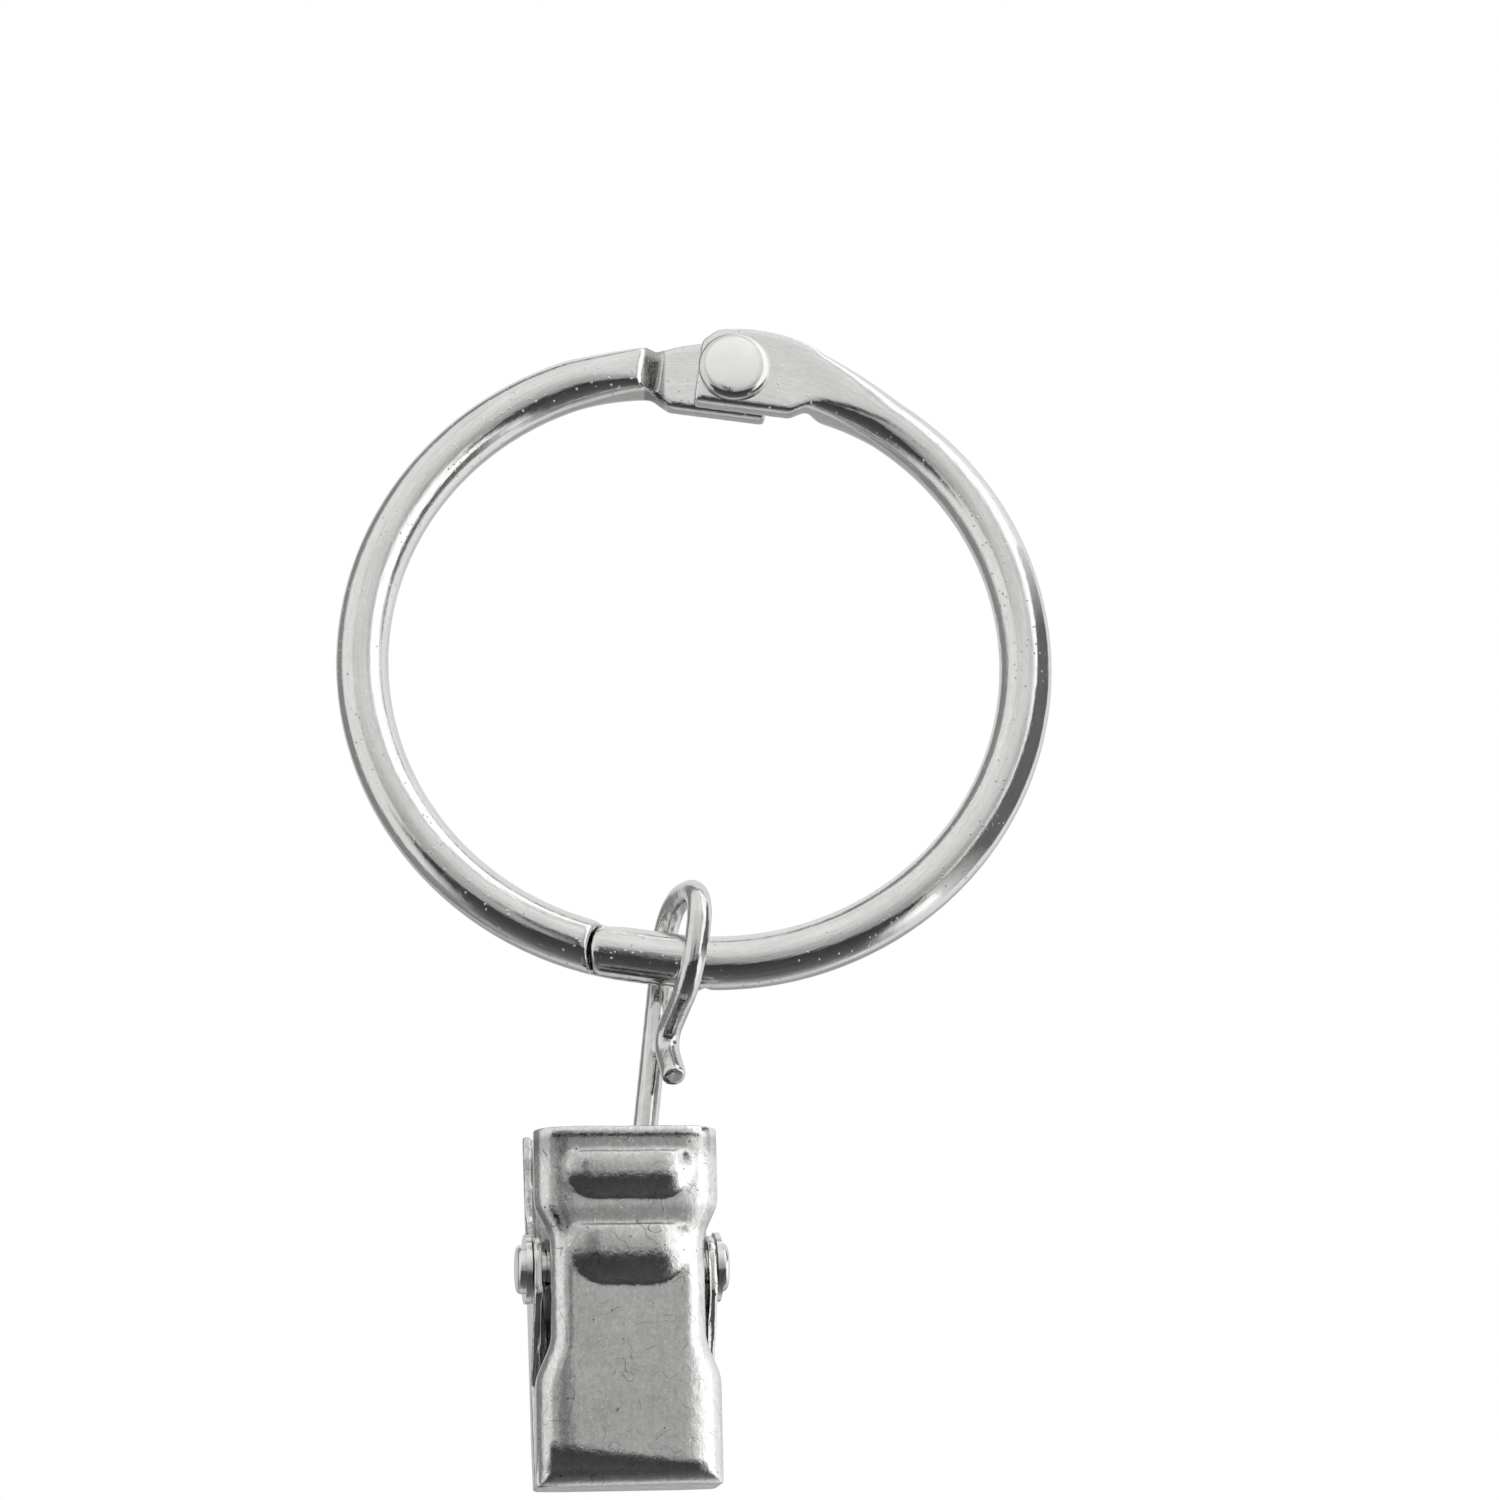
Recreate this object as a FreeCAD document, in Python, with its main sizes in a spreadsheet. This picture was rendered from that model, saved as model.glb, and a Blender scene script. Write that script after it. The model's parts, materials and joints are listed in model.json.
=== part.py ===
import FreeCAD, Part
import math
import os
import Sketcher
from FreeCAD import Placement, Rotation, Vector

doc = FreeCAD.newDocument("curtain_ring_with_clip")
sheet = doc.addObject("Spreadsheet::Sheet", "Sizes")


class Size:
    """A size with its value now and the sheet expression that gives it."""

    def __init__(self, value, text):
        self.value = float(value)
        self.text = text

    def joined(self, other, sign, value):
        return Size(value, "(%s %s %s)" % (self.text, sign, as_size(other).text))

    def __add__(self, other):
        return self.joined(other, "+", self.value + as_size(other).value)

    def __sub__(self, other):
        return self.joined(other, "-", self.value - as_size(other).value)

    def __mul__(self, other):
        return self.joined(other, "*", self.value * as_size(other).value)

    def __truediv__(self, other):
        return self.joined(other, "/", self.value / as_size(other).value)

    def __neg__(self):
        return Size(-self.value, "(-1 * %s)" % self.text)

    def root(self):
        return Size(math.sqrt(self.value), "sqrt(%s)" % self.text)

    def cos(self):
        return Size(math.cos(math.radians(self.value)), "cos(%s * 1 deg)" % self.text)

    def sin(self):
        return Size(math.sin(math.radians(self.value)), "sin(%s * 1 deg)" % self.text)


ZERO = Size(0, "0")
next_row = 1


def as_size(number):
    return number if isinstance(number, Size) else Size(number, repr(float(number)))


def size(name, value):
    """Writes one driving size into the sheet and returns it."""
    global next_row
    cell = "A%d" % next_row
    sheet.set(cell, str(value))
    sheet.setAlias(cell, name)
    next_row += 1
    return Size(value, "Sizes.%s" % name)


# Ring: two halves of round wire, hinged at the top and lapped at the bottom; the left tab stands lower.
ring_width = size("ring_width", 42.0)
ring_wire = size("ring_wire", 3.1)
ring_spread = size("ring_spread", 1.2)
ring_turn = size("ring_turn", 7.6)
blend_turn = size("blend_turn", 63.0)
swell_turn = size("swell_turn", 72.0)
tab_turn = size("tab_turn", 80.0)
swell_grow = size("swell_grow", 0.25)
swell_round = size("swell_round", 1.0)
tab_grow = size("tab_grow", 0.57)
tab_round = size("tab_round", 0.4)
tab_face = size("tab_face", 1.47)
tab_reach = size("tab_reach", 2.2)
tab_step = size("tab_step", 5.05)
tab_below = size("tab_below", 2.55)
tab_above = size("tab_above", 2.6)
tab_corner = size("tab_corner", 0.85)
tab_crown = size("tab_crown", 10.0)
tab_crown_place = size("tab_crown_place", 1.0)
tab_edge = size("tab_edge", 0.25)
tab_cut = size("tab_cut", 1.4)
tab_cut_rise = size("tab_cut_rise", 0.85)
left_tab_drop = size("left_tab_drop", 0.42)
left_crown_place = size("left_crown_place", 0.05)
left_swell_drop = size("left_swell_drop", 0.95)
shoulder_run = size("shoulder_run", 1.2)
lap_gap = size("lap_gap", 0.06)
latch_lap = size("latch_lap", 3.5)
latch_nose = size("latch_nose", 2.8)
nose_bevel = size("nose_bevel", 0.42)
nose_bevel_run = size("nose_bevel_run", 1.8)
latch_play = size("latch_play", 0.12)
detent_place = size("detent_place", 1.5)
detent_ball = size("detent_ball", 0.6)
detent_rise = size("detent_rise", 0.1)
detent_play = size("detent_play", 0.05)

# Hinge rivet.
rivet_shank = size("rivet_shank", 2.2)
rivet_play = size("rivet_play", 0.04)
rivet_head = size("rivet_head", 4.35)
rivet_head_thick = size("rivet_head_thick", 0.7)
rivet_tail = size("rivet_tail", 3.9)
rivet_tail_thick = size("rivet_tail_thick", 0.5)
rivet_round = size("rivet_round", 0.5)
rivet_tail_round = size("rivet_tail_round", 0.4)
rivet_seat = size("rivet_seat", 0.03)
rivet_drop = size("rivet_drop", 0.15)

# Wire hook: its eye goes over the ring wire with slack and its lower loop turns on the pivot pin.
hook_wire = size("hook_wire", 1.45)
hook_place = size("hook_place", -0.95)
eye_rest = size("eye_rest", 1.68)
eye_side_play = size("eye_side_play", 0.3)
eye_skew = size("eye_skew", 1.0)
eye_bend = size("eye_bend", 2.3)
eye_leg_drop = size("eye_leg_drop", 1.2)
eye_leg_bend = size("eye_leg_bend", 3.5)
pinch_drop = size("pinch_drop", 4.3)
pinch_side = size("pinch_side", 0.85)
pinch_gap = size("pinch_gap", 0.1)
pinch_bend = size("pinch_bend", 1.2)
tip_drop = size("tip_drop", 2.5)
tip_flare = size("tip_flare", 1.65)
tip_side = size("tip_side", 0.6)
loop_play = size("loop_play", 0.1)
loop_side_gap = size("loop_side_gap", 0.1)

# Clip: two pressed jaws, pivot pin and torsion spring, measured from the pin's axis.
clip_place = size("clip_place", -4.0)
clip_turn = size("clip_turn", 7.5)
clip_roll = size("clip_roll", -2.0)
pin_drop = size("pin_drop", 35.75)
pin_dia = size("pin_dia", 1.9)
pin_collar = size("pin_collar", 3.8)
pin_collar_thick = size("pin_collar_thick", 0.3)
pin_head = size("pin_head", 2.7)
pin_head_thick = size("pin_head_thick", 0.45)
pin_head_round = size("pin_head_round", 0.3)
pin_seat = size("pin_seat", 0.05)
pin_play = size("pin_play", 0.05)
clip_width = size("clip_width", 10.15)
ear_gap = size("ear_gap", 0.325)
jaw_sheet = size("jaw_sheet", 0.5)
grip_top = size("grip_top", 7.15)
grip_half = size("grip_half", 4.3)
rear_rise = size("rear_rise", 0.8)
bite_drop = size("bite_drop", 11.9)
bite_half = size("bite_half", 2.5)
bite_gap = size("bite_gap", 0.06)
bite_lip = size("bite_lip", 1.0)
flange_depth = size("flange_depth", 1.7)
flange_end = size("flange_end", 3.2)
ear_half = size("ear_half", 1.65)
ear_reach = size("ear_reach", 1.9)
ear_root = size("ear_root", 1.2)
ear_round = size("ear_round", 1.4)
skirt_start = size("skirt_start", 6.2)
skirt_back = size("skirt_back", 1.0)
waist_top = size("waist_top", 3.0)
waist_top_end = size("waist_top_end", 1.35)
waist_low_end = size("waist_low_end", 4.3)
plan_round = size("plan_round", 2.0)
bend_round = size("bend_round", 1.0)
rib_round = size("rib_round", 3.4)
rib_rise = size("rib_rise", 0.45)
rib_length = size("rib_length", 3.6)
rib_high = size("rib_high", 5.2)
rib_pitch = size("rib_pitch", 3.95)
low_rib_round = size("low_rib_round", 5.0)
low_rib_rise = size("low_rib_rise", 0.5)
low_rib_length = size("low_rib_length", 2.4)
rib_step = size("rib_step", 0.5)
hem_round = size("hem_round", 0.32)
spring_wire = size("spring_wire", 0.72)
spring_play = size("spring_play", 0.2)
spring_pitch = size("spring_pitch", 0.74)
spring_turns = size("spring_turns", 3)
spring_side_gap = size("spring_side_gap", 0.16)
spring_leg_high = size("spring_leg_high", 5.0)
spring_leg_gap = size("spring_leg_gap", 0.06)
doc.recompute()

wire_half = ring_wire / 2
arc = ring_width / 2 - wire_half - ring_spread
lap_half = lap_gap / 2


def bind(item, **sizes):
    """Binds properties of a document object to sizes; a double underscore stands for a dot."""
    for name, value in sizes.items():
        item.setExpression(name.replace("__", "."), as_size(value).text)


def place(item, x=ZERO, y=ZERO, z=ZERO):
    bind(item, Placement__Base__x=x, Placement__Base__y=y, Placement__Base__z=z)


def make(kind, name, **sizes):
    item = doc.addObject(kind, name)
    bind(item, **sizes)
    return item


def sketch_on(body, name, role, offset=ZERO):
    """A sketch on one of the body's own planes, moved along that plane's normal."""
    sketch = body.newObject("Sketcher::SketchObject", name)
    plane = [item for item in body.Origin.OriginFeatures if item.Role == role][0]
    sketch.AttachmentSupport = [(plane, "")]
    sketch.MapMode = "FlatFace"
    bind(sketch, AttachmentOffset__Base__z=offset)
    return sketch


def hold_part(sketch, geometry, end, kind, distance):
    row = sketch.addConstraint(Sketcher.Constraint(kind, -1, 1, geometry, end, distance.value))
    sketch.setExpression("Constraints[%d]" % row, distance.text)


def hold_point(sketch, geometry, end, point):
    for kind, axis, part in (("DistanceX", -2, point[0]), ("DistanceY", -1, point[1])):
        if part is ZERO:
            sketch.addConstraint(Sketcher.Constraint("PointOnObject", geometry, end, axis))
        else:
            hold_part(sketch, geometry, end, kind, part)


def hold_radius(sketch, geometry, radius):
    row = sketch.addConstraint(Sketcher.Constraint("Radius", geometry, radius.value))
    sketch.setExpression("Constraints[%d]" % row, radius.text)


def flat(point):
    return Vector(point[0].value, point[1].value, 0)


def draw_outline(sketch, points, first=0):
    """A closed outline of straight lines through the points."""
    count = len(points)
    for number in range(count):
        line = Part.LineSegment(flat(points[number]), flat(points[(number + 1) % count]))
        sketch.addGeometry(line, False)
    for number in range(count):
        following = first + (number + 1) % count
        sketch.addConstraint(Sketcher.Constraint("Coincident", first + number, 2, following, 1))
        hold_point(sketch, first + number, 1, points[number])


def draw_arc_outline(sketch, start, finish, centre, radius, points):
    """A closed outline: an arc counter-clockwise from start to finish, then lines through the points."""
    middle = flat(centre)
    angles = [math.atan2(flat(end).y - middle.y, flat(end).x - middle.x) for end in (start, finish)]
    circle = Part.Circle(middle, Vector(0, 0, 1), radius.value)
    sketch.addGeometry(Part.ArcOfCircle(circle, angles[0], angles[1]), False)
    corners = [finish] + points + [start]
    for number in range(len(corners) - 1):
        sketch.addGeometry(Part.LineSegment(flat(corners[number]), flat(corners[number + 1])), False)
    last = len(corners) - 1
    sketch.addConstraint(Sketcher.Constraint("Coincident", 0, 2, 1, 1))
    for number in range(1, last):
        sketch.addConstraint(Sketcher.Constraint("Coincident", number, 2, number + 1, 1))
    sketch.addConstraint(Sketcher.Constraint("Coincident", last, 2, 0, 1))
    hold_point(sketch, 0, 3, centre)
    hold_radius(sketch, 0, radius)
    hold_part(sketch, 0, 1, "DistanceX", start[0])
    hold_part(sketch, 0, 2, "DistanceX", finish[0])
    for number in range(len(points)):
        hold_point(sketch, number + 1, 2, points[number])


def draw_rounded(sketch, corners):
    """A closed outline through the corners, each a point and the radius of its round, or zero if sharp."""
    points = [flat(corner) for corner in corners]
    rounds = [corner[2].value for corner in corners]
    count = len(points)
    runs = []
    for number in range(count):
        corner = points[number]
        back = (points[number - 1] - corner).normalize()
        ahead = (points[(number + 1) % count] - corner).normalize()
        half = back.getAngle(ahead) / 2
        trim = rounds[number] / math.tan(half)
        middle = corner + (back + ahead).normalize() * (rounds[number] / math.sin(half) - rounds[number])
        runs.append((corner + back * trim, middle, corner + ahead * trim))
    ends = []
    for number in range(count):
        start, middle, finish = runs[number]
        if rounds[number] > 0:
            arc_round = Part.Arc(start, middle, finish)
            bent_left = (middle - start).cross(finish - start).z > 0
            ends.append((sketch.addGeometry(arc_round, False), *((1, 2) if bent_left else (2, 1))))
        ends.append((sketch.addGeometry(Part.LineSegment(finish, runs[(number + 1) % count][0]), False), 1, 2))
    for number in range(len(ends)):
        here = ends[number]
        there = ends[(number + 1) % len(ends)]
        sketch.addConstraint(Sketcher.Constraint("Coincident", here[0], here[2], there[0], there[1]))


def draw_circle(sketch, centre, radius):
    sketch.addGeometry(Part.Circle(flat(centre), Vector(0, 0, 1), radius.value), False)
    hold_point(sketch, 0, 3, centre)
    hold_radius(sketch, 0, radius)


def feature(body, kind, name, sketch, length, side="One side", reverse=False):
    """A Pad or Pocket of the sketch."""
    item = body.newObject("PartDesign::" + kind, name)
    item.Profile = sketch
    item.Type = "Length"
    item.SideType = side
    item.Reversed = reverse
    bind(item, Length=length)
    doc.recompute()
    return item


def round_edges(body, name, radius, wanted):
    """A Fillet on the edges of the body's tip that the test picks."""
    tip = body.Tip
    edges = tip.Shape.Edges
    names = ["Edge%d" % (number + 1) for number in range(len(edges)) if wanted(edges[number])]
    fillet = body.newObject("PartDesign::Fillet", name)
    fillet.Base = (tip, names)
    bind(fillet, Radius=radius)
    doc.recompute()
    return fillet


def near(one, other):
    return abs(one - other) < 1e-3


def runs_along(edge, axis):
    if not isinstance(edge.Curve, Part.Line):
        return False
    return near(abs(edge.Curve.Direction.dot(axis)), 1)


def ring_section(body, name, turn, outward, deep, corner):
    """A section square to the wire at an angle round the half's own centre: a rectangle with round corners."""
    sketch = sketch_on(body, name, "XY_Plane", arc * turn.sin())
    low, high, side, bend = -wire_half.value, outward.value, deep.value, corner.value
    quarter = math.pi / 2
    for number, (x, y) in enumerate(((high, side), (low, side), (low, -side), (high, -side))):
        middle = Vector(x - math.copysign(bend, x), y - math.copysign(bend, y), 0)
        circle = Part.Circle(middle, Vector(0, 0, 1), bend)
        sketch.addGeometry(Part.ArcOfCircle(circle, number * quarter, (number + 1) * quarter), False)
    for number in range(4):
        here = sketch.Geometry[number].EndPoint
        there = sketch.Geometry[(number + 1) % 4].StartPoint
        sketch.addGeometry(Part.LineSegment(here, there), False)
    for number in range(4):
        sketch.addConstraint(Sketcher.Constraint("Coincident", number, 2, 4 + number, 1))
        sketch.addConstraint(Sketcher.Constraint("Coincident", 4 + number, 2, (number + 1) % 4, 1))
    sketch.AttachmentOffset = Placement(Vector(), Rotation(Vector(0, 1, 0), -turn.value))
    bind(sketch, AttachmentOffset__Base__x=ring_spread + arc * turn.cos())
    bind(sketch, AttachmentOffset__Rotation__Angle=-turn)
    return sketch


def ring_half(label, tab_drop, crown_place, swell_drop):
    """One half of the ring as the right half: hinge tab and latch tongue both on its front side."""
    body = doc.addObject("PartDesign::Body", label)

    # The wire: a short straight run at the latch, then the half's arc.
    section = sketch_on(body, label + "_section", "YZ_Plane", ring_spread)
    draw_circle(section, (ZERO, -arc), wire_half)
    feature(body, "Pad", label + "_straight", section, ring_spread + latch_lap + latch_play, reverse=True)
    bow = body.newObject("PartDesign::Revolution", label + "_bow")
    bow.Profile = section
    bow.ReferenceAxis = (section, ["H_Axis"])
    bow.Reversed = True
    bind(bow, Angle=blend_turn + 90)
    doc.recompute()

    # The pressed end: the round wire grows taller and flat towards the tab.
    swell = body.newObject("PartDesign::AdditiveLoft", label + "_swell")
    press = (wire_half + tab_face) / 2
    root_round = wire_half * 0.99
    swell.Profile = ring_section(body, label + "_swell_root", blend_turn, wire_half, wire_half, root_round)
    swell_top = wire_half + swell_grow - swell_drop * 0.6
    swell_finish = wire_half + tab_grow - swell_drop
    middle = ring_section(body, label + "_swell_middle", swell_turn, swell_top, press, swell_round)
    finish = ring_section(body, label + "_swell_end", tab_turn, swell_finish, tab_face, tab_round)
    swell.Sections = [middle, finish]
    doc.recompute()

    # The hinge tab, with a crowned top and cut corners at its end and below, where the round wire begins.
    tab = sketch_on(body, label + "_tab_outline", "XZ_Plane", lap_half)
    low = arc - tab_below
    crown_middle = (crown_place, arc + tab_above - tab_drop - tab_crown)

    def on_crown(x):
        drop = x - crown_place
        return (x, crown_middle[1] + (tab_crown * tab_crown - drop * drop).root())

    crown_start = on_crown(tab_step - 0.1)
    crown_finish = on_crown(tab_corner - tab_reach)
    points = [
        (-tab_reach, crown_finish[1] - tab_corner),
        (-tab_reach, low),
        (tab_step - tab_cut, low),
        (tab_step, low + tab_cut_rise),
        (tab_step, arc),
    ]
    draw_arc_outline(tab, crown_start, crown_finish, crown_middle, tab_crown, points)
    feature(body, "Pad", label + "_tab", tab, tab_face - lap_half)

    # Room behind the tab for the other half's tab, ending in a sloped shoulder.
    relief = sketch_on(body, label + "_relief_plan", "XY_Plane", arc - ring_wire)
    foot = tab_step - shoulder_run / 2
    draw_outline(relief, [
        (-tab_reach - 1, -lap_half),
        (foot, -lap_half),
        (foot + shoulder_run, wire_half),
        (foot + shoulder_run, ring_wire),
        (-tab_reach - 1, ring_wire),
    ])
    feature(body, "Pocket", label + "_relief", relief, ring_wire * 2, reverse=True)
    hole = sketch_on(body, label + "_rivet_hole", "XZ_Plane")
    draw_circle(hole, (ZERO, arc - rivet_drop), rivet_shank / 2 + rivet_play)
    feature(body, "Pocket", label + "_hole", hole, ring_wire * 2, side="Symmetric")

    # The latch: the rear half of the wire is cut away for the other tongue, and this tongue has a round nose.
    seat = sketch_on(body, label + "_latch_seat", "XZ_Plane", lap_half)
    nose = latch_nose + latch_play
    seat_middle = latch_lap - latch_nose
    draw_arc_outline(seat, (seat_middle, -arc - nose), (seat_middle, -arc + nose), (seat_middle, -arc), nose, [
        (-latch_lap - 1, -arc + nose),
        (-latch_lap - 1, -arc - nose),
    ])
    feature(body, "Pocket", label + "_latch_room", seat, ring_wire)
    cut = sketch_on(body, label + "_nose_cut", "XZ_Plane")
    nose_middle = latch_nose - latch_lap
    cut_top = (nose_middle, -arc + latch_nose)
    cut_low = (nose_middle, -arc - latch_nose)
    draw_arc_outline(cut, cut_top, cut_low, (nose_middle, -arc), latch_nose, [
        (-latch_lap - 1, -arc - latch_nose),
        (-latch_lap - 1, -arc + latch_nose),
    ])
    feature(body, "Pocket", label + "_nose", cut, ring_wire * 2, side="Symmetric")
    bevel = sketch_on(body, label + "_nose_bevel_outline", "XZ_Plane")
    crest = wire_half - arc
    draw_outline(bevel, [
        (nose_bevel_run - latch_lap, crest),
        (nose_bevel_run - latch_lap, crest + 1),
        (-latch_lap - nose_bevel_run, crest + 1),
        (-latch_lap - nose_bevel_run, crest - nose_bevel * 2),
    ])
    feature(body, "Pocket", label + "_nose_bevel", bevel, ring_wire * 2, side="Symmetric")

    # A small bump and a dimple hold the two tongues together.
    bump = body.newObject("PartDesign::AdditiveSphere", label + "_bump")
    bind(bump, Radius=detent_ball)
    place(bump, -detent_place, detent_rise - detent_ball - lap_half, -arc)
    dimple = body.newObject("PartDesign::SubtractiveSphere", label + "_dimple")
    bind(dimple, Radius=detent_ball + detent_play)
    place(dimple, detent_place, detent_ball - detent_rise + lap_half, -arc)
    doc.recompute()

    def on_tab_front(edge):
        on_face = all(near(corner.Y, -tab_face.value) for corner in edge.Vertexes)
        reach = edge.BoundBox.XMin < crown_finish[0].value - 0.01
        return on_face and isinstance(edge.Curve, Part.Line) and reach

    round_edges(body, label + "_tab_edge", tab_edge, on_tab_front)
    return body


right = ring_half("ring_half_right", ZERO, tab_crown_place, ZERO)
right.setExpression("Placement", "create(<<placement>>; create(<<vector>>; 0; 0; 0); "
                    "create(<<rotation>>; create(<<vector>>; 0; 1; 0); Sizes.ring_turn))")
left = ring_half("ring_half_left", left_tab_drop, left_crown_place, left_swell_drop)
left.setExpression("Placement", "create(<<placement>>; create(<<vector>>; 0; 0; 0); "
                   "create(<<rotation>>; create(<<vector>>; sin(Sizes.ring_turn * 0.5 deg); 0; "
                   "cos(Sizes.ring_turn * 0.5 deg)); 180))")
doc.recompute()


def turned(label, role, axis, points):
    """A turned piece: the outline, revolved about one axis of its sketch."""
    body = doc.addObject("PartDesign::Body", label)
    sketch = sketch_on(body, label + "_outline", role)
    draw_outline(sketch, points)
    turn = body.newObject("PartDesign::Revolution", label + "_turned")
    turn.Profile = sketch
    turn.ReferenceAxis = (sketch, [axis])
    bind(turn, Angle=360)
    doc.recompute()
    return body


# The hinge rivet, its axis along Y, with a broad flat head in front and a peened tail behind.
head_seat = -tab_face - rivet_seat
tail_seat = tab_face + rivet_seat
rivet = turned("hinge_rivet", "XY_Plane", "V_Axis", [
    (ZERO, head_seat - rivet_head_thick),
    (rivet_head / 2, head_seat - rivet_head_thick),
    (rivet_head / 2, head_seat),
    (rivet_shank / 2, head_seat),
    (rivet_shank / 2, tail_seat),
    (rivet_tail / 2, tail_seat),
    (rivet_tail / 2, tail_seat + rivet_tail_thick),
    (ZERO, tail_seat + rivet_tail_thick),
])
for name, radius, end in (
        ("hinge_rivet_head_rim", rivet_round, head_seat - rivet_head_thick),
        ("hinge_rivet_tail_rim", rivet_tail_round, tail_seat + rivet_tail_thick)):
    round_edges(rivet, name, radius, lambda edge: len(edge.Vertexes) == 1 and near(edge.Vertexes[0].Y, end.value))
place(rivet, (arc - rivet_drop) * ring_turn.sin(), ZERO, (arc - rivet_drop) * ring_turn.cos())


def bent_wire(points, bends):
    """A path of straight runs through the points, with a tangent arc of a given radius at each inner one."""
    edges = []
    last = points[0]
    for number, bend in enumerate(bends, 1):
        corner = points[number]
        back = (points[number - 1] - corner).normalize()
        ahead = (points[number + 1] - corner).normalize()
        half = back.getAngle(ahead) / 2
        trim = bend / math.tan(half)
        toward = (back + ahead).normalize()
        start = corner + back * trim
        finish = corner + ahead * trim
        if (start - last).Length > 1e-4:
            edges.append(Part.LineSegment(last, start).toShape())
        else:
            start = last
        middle = corner + toward * (bend / math.sin(half) - bend)
        edges.append(Part.Arc(start, middle, finish).toShape())
        last = finish
    edges.append(Part.LineSegment(last, points[-1]).toShape())
    return Part.Wire(edges)


lean = (grip_half - bite_half) / (grip_top + bite_drop)


def face_at(high):
    """How far a jaw's outer face stands from the middle plane, at a height above the pin."""
    return grip_half - lean * (grip_top - high)


# Across the clip: the front jaw's waist lies inside the rear jaw's ears, the spring lies inside the waist
# at the left, and the hook's loop lies beside the spring's last turn.
waist_half = clip_width / 2 - jaw_sheet - ear_gap
spring_from = waist_half - jaw_sheet - spring_wire / 2 - spring_side_gap
coil = pin_dia.value / 2 + spring_play.value + spring_wire.value / 2
thin = spring_wire.value / 2
leg_high = spring_leg_high.value
leg_depth = face_at(spring_leg_high).value - jaw_sheet.value - thin - spring_leg_gap.value
leg_angle = math.degrees(math.atan2(leg_high, leg_depth) - math.acos(coil / math.hypot(leg_high, leg_depth)))
turns = int(spring_turns.value) + (180 + 2 * leg_angle) / 360
spring_run = spring_pitch.value * turns
loop_place = spring_run - spring_from.value + thin + loop_side_gap.value + hook_wire.value / 2

# The hook's points: lower loop round the pin, shank up behind the ring, eye over the ring wire, leg back to
# the shank, flared tip. The eye is set square to the ring wire where it hangs.
centre = Vector(ring_spread.value * ring_turn.cos().value, 0, -ring_spread.value * ring_turn.sin().value)
eye_x = hook_place.value
eye_fall = math.sqrt(arc.value ** 2 - (eye_x - centre.x) ** 2)
eye = Vector(eye_x, 0, centre.z - eye_fall)
inward = (centre - eye).normalize()
along = Vector(inward.z, 0, -inward.x)
sideways = Vector(0, 1, 0)
hook_half = hook_wire.value / 2
eye_top = wire_half.value + eye_rest.value + hook_half
eye_leg = wire_half.value + eye_side_play.value + hook_half
eye_back = eye - along * eye_skew.value + sideways * eye_leg + inward * eye_top
eye_front = eye + along * eye_skew.value - sideways * eye_leg + inward * eye_top
leg_end = eye + along * eye_skew.value - sideways * eye_leg - inward * eye_leg_drop.value
loop_half = pin_dia.value / 2 + loop_play.value + hook_half
on_clip = Placement(Vector(clip_place.value, 0, -pin_drop.value), Rotation(clip_turn.value, clip_roll.value, 0))
loop_corners = [
    on_clip.multVec(Vector(loop_place, across * loop_half, up * loop_half))
    for across, up in ((0, 1), (-1, 1), (-1, -1), (1, -1))
]
shank_foot = loop_corners[-1]
shank = eye_back - shank_foot
pinch_level = eye.z - pinch_drop.value
shank_point = shank_foot + shank * ((pinch_level - shank_foot.z) / shank.z)
reach = hook_wire.value + pinch_gap.value
from_shank = Vector(pinch_side.value, -math.sqrt(reach ** 2 - pinch_side.value ** 2), 0)
pinch = shank_point + from_shank
for attempt in range(4):
    tip = pinch + Vector(tip_side.value, -tip_flare.value, -tip_drop.value)
    half_turn = (leg_end - pinch).getAngle(tip - pinch) / 2
    bulge = pinch_bend.value / math.sin(half_turn) - pinch_bend.value
    pinch = shank_point + from_shank * (1 - bulge / reach)
path = doc.addObject("Part::Feature", "hook_path")
path.Shape = bent_wire(
    loop_corners + [eye_back, eye_front, leg_end, pinch, tip],
    [loop_half] * 3 + [eye_bend.value] * 2 + [eye_leg_bend.value, pinch_bend.value],
)
section = make("Part::Circle", "hook_section", Radius=hook_wire / 2)
section.Placement = Placement(loop_corners[0], on_clip.Rotation.multiply(Rotation(Vector(1, 0, 0), 90)))
hook = doc.addObject("Part::Sweep", "hook")
hook.Sections = [section]
hook.Spine = (path, ["Edge%d" % (number + 1) for number in range(len(path.Shape.Edges))])
hook.Solid = True
hook.Frenet = False
doc.recompute()


def set_on_clip(item):
    """Moves a piece made about the pin's middle to its place, turned with the clip."""
    item.setExpression("Placement", "create(<<placement>>; "
                       "create(<<vector>>; Sizes.clip_place; 0; -Sizes.pin_drop); "
                       "create(<<rotation>>; Sizes.clip_turn; Sizes.clip_roll; 0))")
    doc.recompute()


def rod(name, radius, length, y, z):
    """A round bar along X, its middle on the clip's middle plane."""
    bar = make("Part::Cylinder", name, Radius=radius, Height=length)
    bar.Placement = Placement(Vector(), Rotation(Vector(0, 1, 0), 90))
    place(bar, -length / 2, y, z)
    return bar


def capsule(name, radius, length, y, z):
    """A rod with ball ends."""
    pieces = [rod(name + "_bar", radius, length, y, z)]
    for end, x in (("left", -length / 2), ("right", length / 2)):
        ball = make("Part::Sphere", name + "_" + end, Radius=radius)
        place(ball, x, y, z)
        pieces.append(ball)
    return pieces


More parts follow.
